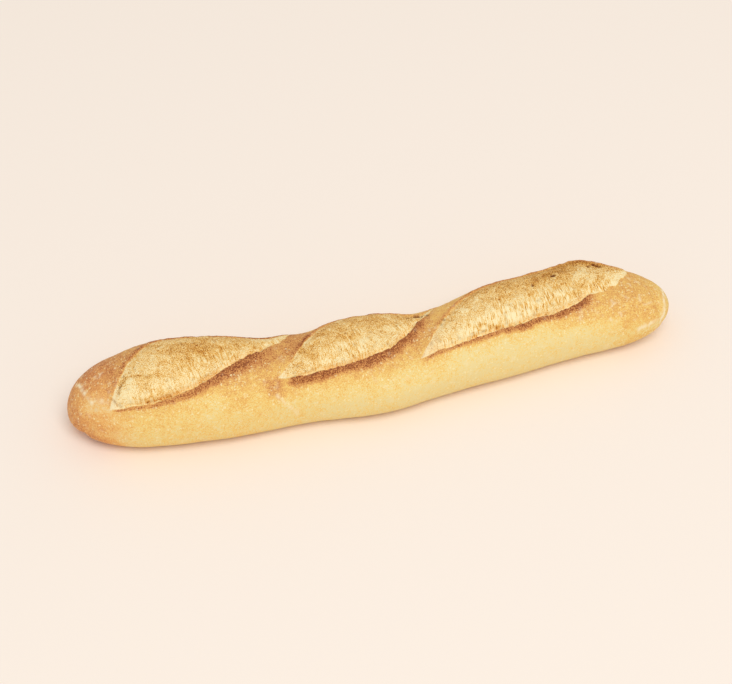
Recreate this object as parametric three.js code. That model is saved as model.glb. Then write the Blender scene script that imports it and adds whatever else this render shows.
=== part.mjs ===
// A short baguette, baked free-standing: a slightly bent loaf with rounded ends, a flat base
// and three slanting slashes. Each slash has a near lip of crust that stands up as an ear, a
// narrow groove behind it, and crumb that has risen out of the cut as a long crown.
//
// Millimetres. X runs along the loaf, Y across it with the ears on its -Y side, and Z is up.
// The loaf rests on z = 0. A point of the surface is named by its x and by an angle round the
// section, in degrees: 0 is the top, -90 the near side, 90 the far side and 180 the base.

import * as THREE from 'three';

// The crust, as if it had never been cut
const LENGTH = 400;
const WIDTH = 62; // on average
const WAIST_HEIGHT = 20.5; // of the widest line, above the base
const SINK = 3; // how far the round underside would reach below the flat base
const UPPER_ROUNDNESS = 2.15; // 2 is an ellipse, and more is squarer
const LOWER_ROUNDNESS = 2.6;
const END_ROUNDNESS = 2.2;
const LEFT_END = { reach: 51, tipHeight: 14 }; // reach: where the end starts to close
const RIGHT_END = { reach: 63, tipHeight: 20 };
const CREST = [ // x, z
  [-200, 49.5], [-110, 49], [-55, 46.5], [-15, 42.5], [30, 40], [75, 45.5], [120, 43], [200, 44],
];
const SIDES = [ // x, and half the width there
  [-200, 30.5], [-110, 31], [-48, 27.5], [0, 32.5], [35, 30], [75, 29.5], [120, 29.5], [200, 31],
];
const BEND = [[-200, 5.5], [-120, -3.5], [-25, -6.5], [70, 2.5], [150, 12.5], [200, 8]]; // x, y

// The slashes. near and end are the angles of the near edge where it starts and ends, and curl
// says how late it turns over the top. A cut gapes by up to gape degrees, at widest of its
// length, and mouth says how blunt it starts. A kink is where the near edge strays, by how many
// degrees and over what reach, and farKinks are the far edge's. The crumb rises by crown, most
// at crownAt.
const SLASHES = [
  {
    start: -175, length: 127, near: -52, end: 53, curl: 2.15,
    gape: 82.5, widest: 0.35, mouth: 0.78,
    kinks: [[0.24, -1.3, 0.1], [0.57, 1.8, 0.06], [0.775, -6.5, 0.055], [0.9, -7, 0.07]],
    farKinks: [[0.13, -7, 0.09]],
    crown: 7, crownAt: 0.34, fullness: 0.9,
    ear: 2.6, earFrom: 0, earTo: 0.86,
  },
  {
    start: -69.5, length: 119.5, near: -34, end: 59.5, curl: 3.4,
    gape: 82, widest: 0.46, mouth: 1.15,
    kinks: [[0.12, -6, 0.13], [0.48, 1.8, 0.08], [0.65, -1.6, 0.04], [0.79, -3.6, 0.055]],
    farKinks: [[0.16, -5.5, 0.1], [0.84, -18, 0.1]],
    crown: 6.5, crownAt: 0.45, fullness: 2,
    ear: 3, earFrom: 0, earTo: 0.9,
  },
  {
    start: 22.5, length: 152, near: -36.5, end: 22.5, curl: 5.6,
    gape: 83, widest: 0.52, mouth: 0.97,
    kinks: [[0.53, 2.5, 0.05], [0.785, 3.5, 0.025], [0.94, -7, 0.06]],
    farKinks: [[0.92, -7, 0.07]],
    crown: 5.2, crownAt: 0.58, fullness: 0.52,
    ear: 2.4, earFrom: -0.02, earTo: 0.86,
  },
];
const KINK_FADE = 0.4; // no kink shifts the tip of a slash
const EAR_WIDTH = 4.2; // how far down the flank an ear's swelling reaches
const EAR_LEAN = 0.5; // how far an ear leans over its groove, as a share of its height
const EAR_TAPER = 0.12; // of the slash's length, over which an ear rises and dies away
const GROOVE_AT = 2.4; // behind the ear's crest
const GROOVE_WIDTH = 1.8;
const GROOVE_DEPTH = 2;
const SHOULDER = 0.72; // how far across the cut the crumb reaches its full height
const CROWN_ROUNDNESS = 0.8; // under 1 is blunter than a sine
const BROW = 0.8; // how far across the cut the crown starts to fall to the far edge
const FAR_LEVEL = 0.9; // share of the crown that is left at the far edge
const FAR_SLOPE = 26; // how far past the far edge the crust is still lifted
const CREASE_DEPTH = 0.9; // of the crease between the crumb and the far crust
const CREASE_WIDTH = 2.2;
const FAR_LIP = { height: 1.3, at: 1.2, width: 1.4 }; // thin crust that stands past a far edge
const TORN_RIDGE = { slash: 2, at: 0.79, reach: 0.12, height: 2.6, width: 2.6 };

// Swellings, each highest at an x and at the angle called middle. Those below 0 are the creases
// where the dough was folded under at both ends, deepest on the near underside, and the last one
// is beside the end of the first slash.
const SWELLINGS = [
  { x: -189, lean: 5, height: -1.4, width: 2.6, middle: -120, span: 60 },
  { x: 191, lean: -4, height: -0.9, width: 2.2, middle: -60, span: 90 },
  { x: -57, lean: 0, height: 2.4, width: 9, middle: 42, span: 24 },
];

// The mesh
const STATIONS = 132; // along the loaf
const SECTION_LINES = 44; // round the loaf
const TABLE_STEPS = 360;
const TOP_DENSITY = 1.4; // extra lines over the top, against one everywhere
const NEAR_DENSITY = 5; // extra lines at the near edge of a cut
const FAR_DENSITY = 1.5; // extra lines at its far edge
const DENSITY_WIDTH = 4;
const TIP_DENSITY = 5; // extra stations at the tips
const TIP_DENSITY_WIDTH = 7;

const DEGREE = Math.PI / 180;
const SIDE_PER_DEGREE = (WIDTH / 2) * DEGREE; // mm of surface for each degree of section
const HALF = LENGTH / 2;
const TINY = 1e-6;

const { clamp, euclideanModulo, lerp, smoothstep } = THREE.MathUtils;

const bell = (distance, width) => Math.exp(-((distance / width) ** 2));

// A smooth curve through points of [x, value]
function through(points, x) {
  const last = points.length - 1;
  const slopeAt = (k) => {
    const [beforeX, before] = points[Math.max(k - 1, 0)];
    const [afterX, after] = points[Math.min(k + 1, last)];
    return (after - before) / (afterX - beforeX);
  };
  let i = 0;
  while (i < last - 1 && x > points[i + 1][0]) i += 1;
  const [x0, value0] = points[i];
  const [x1, value1] = points[i + 1];
  const t = clamp((x - x0) / (x1 - x0), 0, 1);
  const rise = t * t * (3 - 2 * t);
  const bulge = t * (1 - t) * (x1 - x0);
  return lerp(value0, value1, rise) + bulge * ((1 - t) * slopeAt(i) - t * slopeAt(i + 1));
}

// How much of the full section is left at x: 1 along the loaf, closing to 0 at both tips
function endShare(x) {
  const left = (-x - (HALF - LEFT_END.reach)) / LEFT_END.reach;
  const right = (x - (HALF - RIGHT_END.reach)) / RIGHT_END.reach;
  const q = clamp(Math.max(left, right), 0, 1);
  return Math.sqrt(1 - q ** END_ROUNDNESS);
}

// The uncut crust, with its round underside still going below the base
function crustPoint(x, angle) {
  const share = endShare(x);
  const tipHeight = x < 0 ? LEFT_END.tipHeight : RIGHT_END.tipHeight;
  const waist = lerp(tipHeight, WAIST_HEIGHT, share);
  const above = (through(CREST, x) - WAIST_HEIGHT) * share;
  const below = (WAIST_HEIGHT + SINK) * share;
  const up = Math.cos(angle * DEGREE);
  const out = Math.sin(angle * DEGREE);
  const roundness = up > 0 ? UPPER_ROUNDNESS : LOWER_ROUNDNESS;
  const height = Math.abs(up) ** (2 / roundness) * (up > 0 ? above : -below);
  const width = Math.abs(out) ** (2 / roundness) * Math.sign(out) * through(SIDES, x) * share;
  return new THREE.Vector3(x, through(BEND, x) + width, waist + height);
}

// The crust's outward direction at a point, and its direction towards the far side
function crustAxes(x, angle) {
  const step = 0.2;
  const middle = clamp(x, 2 * step - HALF, HALF - 2 * step);
  const along = crustPoint(middle + step, angle).sub(crustPoint(middle - step, angle));
  const across = crustPoint(middle, angle + step).sub(crustPoint(middle, angle - step));
  const outward = new THREE.Vector3().crossVectors(along, across).normalize();
  return { outward, across: across.normalize() };
}

// How far an edge strays at a share a of its slash's length, in degrees
function strayFrom(kinks, a) {
  let stray = 0;
  for (const [at, turn, reach] of kinks) stray += turn * bell(a - at, reach);
  return stray;
}

// The angles of a slash's near and far edges, at a share a of its length
function slashEdges(slash, a) {
  const path = lerp(slash.near, slash.end, a ** slash.curl);
  const tail = slash.mouth * (1 - slash.widest) / slash.widest;
  const opening = (a / slash.widest) ** slash.mouth * ((1 - a) / (1 - slash.widest)) ** tail;
  const fade = smoothstep(middleShare(a), 0, KINK_FADE);
  return {
    near: path + fade * strayFrom(slash.kinks, a),
    far: path + slash.gape * opening + fade * strayFrom(slash.farKinks, a),
  };
}

// Where a point lies against a slash: the share a of its length, and the distance in mm that
// the point lies inside its near edge and inside its far edge, measured square to that edge
function placeInSlash(slash, x, angle) {
  const a = clamp((x - slash.start) / slash.length, TINY, 1 - TINY);
  const step = 1 / slash.length;
  const here = slashEdges(slash, a);
  const next = slashEdges(slash, Math.min(a + step, 1 - TINY));
  const square = (slope) => 1 / Math.hypot(1, slope * SIDE_PER_DEGREE);
  return {
    a,
    fromNear: (angle - here.near) * SIDE_PER_DEGREE * square(next.near - here.near),
    fromFar: (here.far - angle) * SIDE_PER_DEGREE * square(next.far - here.far),
  };
}

// 1 halfway along a slash, and 0 at both its ends
function middleShare(a) {
  return Math.sqrt(Math.sin(a * Math.PI));
}

function earShare(slash, a) {
  const rising = smoothstep(a, slash.earFrom, slash.earFrom + EAR_TAPER);
  return rising * (1 - smoothstep(a, slash.earTo - EAR_TAPER, slash.earTo));
}

// How high the crumb's crown stands at a share a of the slash's length
function crownHeight(slash, a) {
  const tail = slash.fullness * (1 - slash.crownAt) / slash.crownAt;
  const before = (a / slash.crownAt) ** slash.fullness;
  return slash.crown * before * ((1 - a) / (1 - slash.crownAt)) ** tail;
}

// What a slash adds to the crust at a point: a height, and a lean towards the far side
function slashRelief(slash, x, angle) {
  const { a, fromNear, fromFar } = placeInSlash(slash, x, angle);
  const ear = slash.ear * earShare(slash, a);
  const crown = crownHeight(slash, a);
  if (fromNear <= 0) {
    const height = fromFar > 0 ? ear * bell(fromNear, EAR_WIDTH) : 0;
    return { height, lean: EAR_LEAN * height };
  }
  const crease = CREASE_DEPTH * middleShare(a) * bell(fromFar, CREASE_WIDTH);
  if (fromFar <= 0) {
    const lifted = crown * FAR_LEVEL * (1 - smoothstep(-fromFar, 0, FAR_SLOPE));
    const lip = FAR_LIP.height * middleShare(a) * bell(fromFar + FAR_LIP.at, FAR_LIP.width);
    return { height: lifted - crease + lip, lean: 0 };
  }
  const across = fromNear / (fromNear + fromFar);
  const shoulder = Math.sin(Math.min(across / SHOULDER, 1) * Math.PI / 2) ** CROWN_ROUNDNESS;
  const crumb = crown * shoulder * lerp(1, FAR_LEVEL, smoothstep(across, BROW, 1));
  const groove = GROOVE_DEPTH * earShare(slash, a) * bell(fromNear - GROOVE_AT, GROOVE_WIDTH);
  const earBack = ear * clamp(1 - fromNear / GROOVE_AT, 0, 1);
  return { height: crumb - groove - crease + earBack, lean: EAR_LEAN * earBack };
}

// The torn crust that stands up along part of a far edge
function ridgeRelief(x, angle) {
  const { a, fromFar } = placeInSlash(SLASHES[TORN_RIDGE.slash], x, angle);
  return TORN_RIDGE.height * bell(a - TORN_RIDGE.at, TORN_RIDGE.reach)
    * bell(fromFar, TORN_RIDGE.width);
}

function swellingRelief(swelling, x, angle) {
  const offset = x - swelling.x - swelling.lean * Math.cos(angle * DEGREE);
  const round = euclideanModulo(angle - swelling.middle + 180, 360) - 180;
  return swelling.height * bell(offset, swelling.width) * bell(round, swelling.span);
}

// A point of the finished loaf
function loafPoint(x, angle) {
  let height = ridgeRelief(x, angle);
  let lean = 0;
  for (const slash of SLASHES) {
    const relief = slashRelief(slash, x, angle);
    height += relief.height;
    lean += relief.lean;
  }
  for (const swelling of SWELLINGS) height += swellingRelief(swelling, x, angle);
  const { outward, across } = crustAxes(x, angle);
  const strength = Math.sqrt(endShare(x));
  const point = crustPoint(x, angle);
  point.addScaledVector(outward, height * strength);
  point.addScaledVector(across, lean * strength);
  point.z = Math.max(point.z, 0);
  return point;
}

// Returns the function that gives the place at a share of the way from low to high, where the
// places lie closer together as density is higher
function spread(low, high, density) {
  const step = (high - low) / TABLE_STEPS;
  const table = [0];
  for (let k = 0; k < TABLE_STEPS; k += 1) {
    table.push(table[k] + density(low + (k + 0.5) * step));
  }
  return (share) => {
    const wanted = share * table[TABLE_STEPS];
    let k = 0;
    while (k < TABLE_STEPS - 1 && table[k + 1] < wanted) k += 1;
    return low + (k + (wanted - table[k]) / (table[k + 1] - table[k])) * step;
  };
}

// The stations lie closer at the tips
const stationAt = spread(-HALF, HALF, (x) => (
  1 + TIP_DENSITY * bell(HALF - Math.abs(x), TIP_DENSITY_WIDTH)
));

// The section lines lie closer over the top, and closer still at the edges of a cut, and the
// line nearest to an ear is moved onto its crest, so that the crest comes out sharp
function sectionAngles(x) {
  const angleAt = spread(-180, 180, (angle) => {
    let density = 1 + TOP_DENSITY * Math.max(Math.cos(angle * DEGREE), 0);
    for (const slash of SLASHES) {
      const { a, fromNear, fromFar } = placeInSlash(slash, x, angle);
      density += NEAR_DENSITY * middleShare(a) * bell(fromNear, DENSITY_WIDTH);
      density += FAR_DENSITY * middleShare(a) * bell(fromFar, DENSITY_WIDTH);
    }
    return density;
  });
  const angles = [];
  for (let j = 0; j < SECTION_LINES; j += 1) angles.push(angleAt(j / SECTION_LINES));
  for (const slash of SLASHES) {
    const a = (x - slash.start) / slash.length;
    if (a > 0 && a < 1) {
      const crest = slashEdges(slash, a).near;
      const distances = angles.map((angle) => Math.abs(angle - crest));
      angles[distances.indexOf(Math.min(...distances))] = crest;
    }
  }
  return angles;
}

// Rings of points from tip to tip, joined by triangles whose diagonals run as the ears do
function makeLoafGeometry() {
  const points = [loafPoint(-HALF, 0)];
  for (let i = 1; i < STATIONS; i += 1) {
    const x = stationAt(i / STATIONS);
    for (const angle of sectionAngles(x)) points.push(loafPoint(x, angle));
  }
  points.push(loafPoint(HALF, 0));

  const corners = [];
  const last = points.length - 1;
  const lastRing = STATIONS - 2;
  const corner = (ring, line) => 1 + ring * SECTION_LINES + line % SECTION_LINES;
  for (let j = 0; j < SECTION_LINES; j += 1) {
    corners.push(0, corner(0, j), corner(0, j + 1));
    corners.push(last, corner(lastRing, j + 1), corner(lastRing, j));
    for (let i = 0; i < lastRing; i += 1) {
      corners.push(corner(i, j), corner(i + 1, j + 1), corner(i, j + 1));
      corners.push(corner(i, j), corner(i + 1, j), corner(i + 1, j + 1));
    }
  }

  const geometry = new THREE.BufferGeometry().setFromPoints(points);
  geometry.setIndex(corners);
  geometry.computeBoundingBox();
  const middle = geometry.boundingBox.getCenter(new THREE.Vector3());
  geometry.translate(-middle.x, -middle.y, 0);
  geometry.computeVertexNormals();
  return geometry;
}

const crustMaterial = new THREE.MeshStandardMaterial({
  color: '#deb46c',
  roughness: 0.7,
  metalness: 0,
});

const loaf = new THREE.Mesh(makeLoafGeometry(), crustMaterial);
loaf.name = 'loaf';

const baguette = new THREE.Group();
baguette.add(loaf);

export default baguette;
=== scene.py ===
"""The looks of the baguette.

One fine mesh replaces the loaf's CAD solid. It is worked out from the same sizes by the same
rules as the solid, and adds the fine relief: uneven crust, notched ears, striped and porous
crumb, cracks and holes. Its material browns the crust and toasts the crumb, and paints shade
into the holes, pores and cracks.

Shapes are worked out in millimetres and degrees, and the mesh is written in metres. A place on
the loaf is named by its x and by an angle round the section: 0 is the top, -90 the near side,
90 the far side and 180 the base.
"""

import math
import random
from types import SimpleNamespace

import bpy
import numpy as np
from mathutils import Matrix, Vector, noise


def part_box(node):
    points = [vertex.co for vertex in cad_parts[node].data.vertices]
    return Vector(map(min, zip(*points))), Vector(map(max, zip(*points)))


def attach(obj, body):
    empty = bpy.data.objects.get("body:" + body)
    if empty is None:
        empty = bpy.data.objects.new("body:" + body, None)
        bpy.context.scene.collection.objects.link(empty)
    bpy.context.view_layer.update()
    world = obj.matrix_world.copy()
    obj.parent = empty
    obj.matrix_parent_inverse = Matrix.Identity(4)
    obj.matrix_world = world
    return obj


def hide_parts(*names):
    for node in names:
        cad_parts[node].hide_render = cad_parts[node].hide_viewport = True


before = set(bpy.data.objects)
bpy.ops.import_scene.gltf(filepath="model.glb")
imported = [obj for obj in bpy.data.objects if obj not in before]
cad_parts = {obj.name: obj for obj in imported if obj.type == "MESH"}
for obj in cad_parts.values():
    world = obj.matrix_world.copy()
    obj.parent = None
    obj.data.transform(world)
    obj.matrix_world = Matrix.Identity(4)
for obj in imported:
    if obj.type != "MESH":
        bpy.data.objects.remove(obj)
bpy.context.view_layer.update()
MM = 0.001

# ------- the loaf's sizes, as in CAD

LOW, HIGH = (np.array(corner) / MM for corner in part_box("loaf"))
HALF = (HIGH[0] - LOW[0]) / 2
WIDTH = 62  # on average
WAIST_HEIGHT = 20.5  # of the widest line, above the base
SINK = 3  # how far the round underside would reach below the flat base
UPPER_ROUNDNESS = 2.15  # 2 is an ellipse, and more is squarer
LOWER_ROUNDNESS = 2.6
END_ROUNDNESS = 2.2
LEFT_END = {"reach": 51, "tip_height": 14}  # reach: where the end starts to close
RIGHT_END = {"reach": 63, "tip_height": 20}
CREST = [  # (x, z)
    (-200, 49.5), (-110, 49), (-55, 46.5), (-15, 42.5), (30, 40), (75, 45.5), (120, 43), (200, 44),
]
SIDES = [  # (x, half the width there)
    (-200, 30.5), (-110, 31), (-48, 27.5), (0, 32.5), (35, 30), (75, 29.5), (120, 29.5), (200, 31),
]
BEND = [(-200, 5.5), (-120, -3.5), (-25, -6.5), (70, 2.5), (150, 12.5), (200, 8)]  # (x, y)

# near and end are the angles of the near edge where it starts and ends, and curl says how late
# it turns over the top. A cut gapes by up to gape degrees, at widest of its length, and mouth
# says how blunt it starts. A kink is where the near edge strays: (where, by how many degrees,
# over what reach), and far_kinks are the far edge's. The crumb rises by crown, most at crown_at.
# band and band_baked are the height and the browning of the ear's face, at the cut's start and
# from band_full on. toasted is the crumb's browning, beside the ear and away from it.
SLASHES = [
    {
        "start": -175, "length": 127, "near": -52, "end": 53, "curl": 2.15,
        "gape": 82.5, "widest": 0.35, "mouth": 0.78,
        "kinks": [(0.24, -1.3, 0.1), (0.57, 1.8, 0.06), (0.775, -6.5, 0.055), (0.9, -7, 0.07)],
        "far_kinks": [(0.13, -7, 0.09)],
        "crown": 7, "crown_at": 0.34, "fullness": 0.9,
        "ear": 2.6, "ear_from": 0, "ear_to": 0.86,
        "band": (1.5, 5.2), "band_baked": (0.62, 0.82), "band_full": 0.7,
        "band_start": (0, 0.04), "band_end": (0.72, 0.83),
        "toasted": (0.52, 0.54), "stripes": 0.55, "pale_tip": 0.08,
    },
    {
        "start": -69.5, "length": 119.5, "near": -34, "end": 59.5, "curl": 3.4,
        "gape": 82, "widest": 0.46, "mouth": 1.15,
        "kinks": [(0.12, -6, 0.13), (0.48, 1.8, 0.08), (0.65, -1.6, 0.04), (0.79, -3.6, 0.055)],
        "far_kinks": [(0.16, -5.5, 0.1), (0.84, -18, 0.1)],
        "crown": 6.5, "crown_at": 0.45, "fullness": 2,
        "ear": 3, "ear_from": 0, "ear_to": 0.9,
        "band": (5.3, 4.3), "band_baked": (0.86, 0.86), "band_full": 0.55,
        "band_start": (0.03, 0.08), "band_end": (0.78, 0.97),
        "toasted": (0.28, 0.58), "stripes": 0.65, "pale_tip": 0.07,
    },
    {
        "start": 22.5, "length": 152, "near": -36.5, "end": 22.5, "curl": 5.6,
        "gape": 83, "widest": 0.52, "mouth": 0.97,
        "kinks": [(0.53, 2.5, 0.05), (0.785, 3.5, 0.025), (0.94, -7, 0.06)],
        "far_kinks": [(0.92, -7, 0.07)],
        "crown": 5.2, "crown_at": 0.58, "fullness": 0.52,
        "ear": 2.4, "ear_from": -0.02, "ear_to": 0.86,
        "band": (2.1, 3.8), "band_baked": (0.6, 0.84), "band_full": 0.6,
        "band_start": (0, 0.04), "band_end": (0.76, 0.84),
        "toasted": (0.22, 0.66), "stripes": 1, "pale_tip": 0.15,
    },
]
KINK_FADE = 0.4  # no kink shifts the tip of a slash
EAR_WIDTH = 4.2  # how far down the flank an ear's swelling reaches
EAR_LEAN = 0.5  # how far an ear leans over its groove, as a share of its height
EAR_TAPER = 0.12  # of the slash's length, over which an ear rises and dies away
GROOVE_AT = 2.4  # behind the ear's crest
GROOVE_WIDTH = 1.8
GROOVE_DEPTH = 2
SHOULDER = 0.72  # how far across the cut the crumb reaches its full height
CROWN_ROUNDNESS = 0.8  # under 1 is blunter than a sine
BROW = 0.8  # how far across the cut the crown starts to fall to the far edge
FAR_LEVEL = 0.9  # share of the crown that is left at the far edge
FAR_SLOPE = 26  # how far past the far edge the crust is still lifted
CREASE_DEPTH = 0.9  # of the crease between the crumb and the far crust
CREASE_WIDTH = 2.2
TORN_RIDGE = {"slash": 2, "at": 0.79, "reach": 0.12, "height": 2.6, "width": 2.6}
# Creases where the dough was folded under at both ends, and a swelling beside the first slash
SWELLINGS = [
    {"x": -189, "lean": 5, "height": -1.4, "width": 2.6, "middle": -120, "span": 60},
    {"x": 191, "lean": -4, "height": -0.9, "width": 2.2, "middle": -60, "span": 90},
    {"x": -57, "lean": 0, "height": 2.4, "width": 9, "middle": 42, "span": 24},
]
SIDE_PER_DEGREE = WIDTH / 2 * math.radians(1)  # mm of surface for each degree of section
TINY = 1e-6

# ------- the fine mesh

STATIONS = 640  # along the loaf
SECTION_LINES = 150  # round it
TABLE_STEPS = 900
TOP_DENSITY = 1.8  # extra lines over the top, against one everywhere
NEAR_DENSITY, FAR_DENSITY = 5, 1.5  # and at the edges of a cut
DENSITY_WIDTH = 3.5
TIP_DENSITY = 4  # extra stations at the tips
TIP_DENSITY_WIDTH = 7

# ------- the fine relief

# Where each noise starts, so that no two have the same lumps
SEEDS = {
    "lumps": 3.1, "grain": 5.0, "notches": 7.3, "stripes": 11.0, "far_notches": 13.9,
    "pores": 17.0, "ridge": 19.3, "flakes": 23.0, "striped": 29.0, "ragged": 31.7,
    "torn_end": 37.1, "torn_skin": 41.3, "far_edge": 43.0, "crust_mottle": 51.0,
    "band": 53.0, "band_mottle": 57.0, "crumb_mottle": 61.0, "streaks": 71.0,
}

LUMPS = [(38, 0.55), (12, 0.22), (4.5, 0.07)]  # (size, height) of the crust's unevenness
NOTCHES = [(6, 0.2), (1.7, 0.3)]  # (size, share of its height) along an ear's crest
FAR_NOTCHES = [(9, 0.45), (2.6, 0.2)]  # and along a far lip and the torn ridge
RAGGED = [(14, 1.3), (3.5, 0.8), (1.6, 0.5)]  # (size, distance) along a far edge
RAGGED_FADE = 0.5  # which is less ragged near the tips of a cut
TORN_END = [(5, 2), (1.8, 0.9)]  # and along the near edge, where the ear has ended
TORN_SKIN = [(4, 0.45), (1.5, 0.5)]  # (size, distance) by which crumb strays over an ear's edge
TORN_SKIN_WIDTH = 0.15  # of the skin that is left on the edge
BASE_FADE = (0.3, 5)  # fine relief fades in between these heights, so the base stays flat
FAR_LIP = {"height": 1.3, "at": 1.2, "width": 1.4}  # thin crust that stands past a far edge

STRIPE_SPACING = 2.0  # of the ridges that the crumb tore into, square to the cut
STRIPE_REACH = 9  # how far one ridge runs away from the ear
STRIPE_TURN = 0.6  # 0 keeps them square to the loaf, and 1 square to the ear
STRIPE_HEIGHT = 0.35
STRIPED_SIZE = 13  # of the parts of the crumb that are striped
STRIPED_EDGES = (-0.4, 0.15)  # of the noise that picks them
STRIPES_FADE = (0.2, 0.75)  # shares of the cut's width, from the ear
GRAIN = [(3.0, 0.15), (1.5, 0.2)]  # (size, height) of the crumb's roughness
PORE_SIZE = 2.4
PORE_SHARE = 0.25  # higher leaves fewer pores
PORE_DEPTH = 1.5
FLAKE_SIZE = 7  # paler flakes of crumb that stand a little higher
FLAKE_EDGES = (0.1, 0.18)
FLAKE_HEIGHT = 0.26
# Painted shade: a browner line round the raised flakes
FLAKE_SHADE_LINE, FLAKE_SHADE_STRENGTH = (0.06, 0.05), 0.14  # the browner line round them

BLISTERS = 420
BLISTER_SEED = 4
BLISTER_SIZE = (0.5, 1.3)
BLISTER_ANGLES = (-130, 130)
BLISTER_HEIGHT = 0.22
BLISTER_STRENGTH = (0.4, 1)  # share of that height and of the paleness
STREAK_STEPS = 14  # between two places of a line

# Lines over the crust or the crumb: the places (x, angle), the width, the height, which is
# below 0 for a crack, how pale they are, and how dark: painted shade in a crack
STREAKS = [
    ([(-192, 22), (-188, -16), (-185, -37)], 1.3, 0.3, 1, 0),
    ([(-72, -57), (-66, -74), (-59, -92)], 1, 0.2, 0.6, 0),
    ([(134, -34), (133, -47)], 1.2, 0.3, 0.5, 0),
    ([(196, 8), (194, -40), (192, -83), (187, -101)], 1.3, 0.25, 1.2, 0),
    ([(172, -88), (180, -82), (186, -84)], 1.4, 0.2, 0.9, 0),
    ([(-173.5, -36), (-171.5, -39), (-170, -46)], 0.5, -0.5, 0, 0.25),
    ([(-168, -33), (-166.5, -25), (-162, -15)], 0.6, -0.7, 0, 0.3),
    ([(-160, -14), (-153, -16), (-146, -18)], 0.6, -0.4, 0, 0.2),
    ([(65, -18), (69.6, -24), (76, -27)], 0.9, 0.3, 0, 0),
    # painted shadow under the flap of the torn ridge
    ([(119, 27), (128, 27.3), (135.5, 22.5)], 0.7, -0.5, 0, 0.4),
    ([(-181, -34), (-176, -40)], 2.2, 0.15, 0.55, 0),
    ([(164, -22), (168, -30)], 0.7, 0.2, 0.4, 0),
    ([(171, 12), (176, 4), (180, 2)], 0.8, 0.25, 0.45, 0),
    ([(177, -42), (184, -38)], 0.7, 0.2, 0.4, 0),
    ([(166, 26), (172, 20)], 0.8, 0.25, 0.45, 0),
]
STREAK_BREAKS = 3  # size of the gaps that break the streaks up
STREAK_WHOLE, STREAK_BREAK_DEPTH = 0.7, 1.2
# Short pale scratches, scattered between these x and angles
SCRATCHES = [
    {"count": 16, "x": (152, 192), "angle": (-95, 45), "pale": 0.5},
    {"count": 7, "x": (-190, -168), "angle": (-75, 45), "pale": 0.45},
]
SCRATCH_SEED = 12
SCRATCH_REACH = (3, 6)  # mm along the loaf, and degrees round it
SCRATCH_BOW = 0.4  # how far its middle strays, as a share of its reach
SCRATCH_WIDTH = (0.5, 0.9)
SCRATCH_HEIGHT = 0.2
# A part of the crumb that stands like a plate, inside these pairs of x and under this angle
PLATE = {"from_x": (-163, -161.5), "to_x": (-144, -142.5), "below": (-19, -16), "height": 0.5,
         "pale": 0.1}
# Holes torn in the crumb: the place (x, angle), the size and the depth
HOLES = [
    ((123.6, 20.8), 1.6, 1.8),
    ((107.5, 13.5), 1.1, 1),
    ((149.2, 24), 1, 1.2),
    ((152.6, 25.4), 1.2, 1.5),
    ((154.4, 23.6), 1.3, 1.6),
    ((156.2, 21.6), 1.1, 1.5),
    ((45.3, 4), 1.1, 0.7),
    ((42.4, 0.5), 1, 0.6),
    ((-163, -12), 0.8, 0.6),
    ((-166.5, -24.5), 0.8, 0.6),
    ((-21, 9.8), 0.8, 0.6),
    ((14, 15), 0.8, 0.6),
    ((23.8, 31.8), 1.2, 1.2),
    ((26.4, 31), 1.2, 1.3),
    ((28.8, 32), 1.2, 1.2),
    ((31, 31), 1.2, 1.3),
    ((33.5, 29.8), 1.2, 1.2),
    ((36.2, 26.5), 1.2, 1.2),
]
# Browned dents in the crust: the place (x, angle), the size, the depth and the browning
DENTS = [
    ((-71.5, -46), 6.5, 0.8, 0.45),
    ((163, -74), 3, 0.3, 0.2),
]

# ------- browning and painted shade, from 0 to 1

FLANK_BAKED = 0.02
# Browner parts of the crust, or paler below 0, which fade over these pairs of x or of angles.
# Some of the paler ones are painted light
BAKED_AND_PAINTED_LIGHT_PATCHES = [
    (0.38, {"from_angle": (-52, -6), "to_angle": (70, 120), "to_x": (140, 190)}),
    (0.13, {"to_x": (-192, -165)}),
    (0.32, {"from_angle": (-35, 45), "to_x": (-192, -150)}),
    (0.24, {"to_angle": (-58, -36), "to_x": (-192, -170)}),
    # painted light: these two make the left end's front and tip paler, where the key light, from
    # the right, reaches less
    (-0.42, {"from_angle": (-62, -40), "to_angle": (0, 30), "to_x": (-184, -168)}),
    (-0.24, {"to_x": (-197, -180)}),
    (0.28, {"from_angle": (-52, -40), "to_angle": (70, 120), "to_x": (-172, -120)}),
    (0.42, {"to_angle": (-112, -86), "to_x": (-186, -164)}),
    (0.1, {"to_x": (-100, 10)}),
    (0.38, {"from_angle": (-28, 0), "to_angle": (60, 100), "from_x": (-90, -74),
     "to_x": (-46, -38)}),
    (0.38, {"from_angle": (-112, -55), "from_x": (125, 175), "to_x": (186, 212)}),
    (0.24, {"to_angle": (-104, -90), "from_x": (150, 172)}),
    (0.2, {"from_angle": (-64, -50), "to_angle": (-32, -22), "from_x": (112, 128),
     "to_x": (146, 168)}),
    (0.12, {"from_angle": (-88, -66), "to_angle": (-32, -22), "from_x": (-50, -25),
     "to_x": (32, 52)}),
    (0.1, {"from_angle": (-76, -60), "to_angle": (-36, -24), "from_x": (-112, -95),
     "to_x": (-62, -50)}),
    (0.09, {"from_angle": (-98, -82), "to_angle": (-60, -48), "from_x": (-188, -176),
     "to_x": (-136, -110)}),
]
# All angles meet at the tips, so between these x a patch with angles evens out to a share
TIPS_EVEN, TIPS_SHARE = (184, 197), 0.5
ROSY = {"to_x": (-182, -154)}  # where the crust's brown is redder
UNDERSIDE_BAKED = 0.3
UNDERSIDE_HEIGHTS = (1, 5.5)  # over which it fades
CRUST_MOTTLE = [(24, 0.06), (7, 0.08)]  # (size, change)
CRUMB_MOTTLE = [(17, 0.14), (6, 0.08)]
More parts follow.
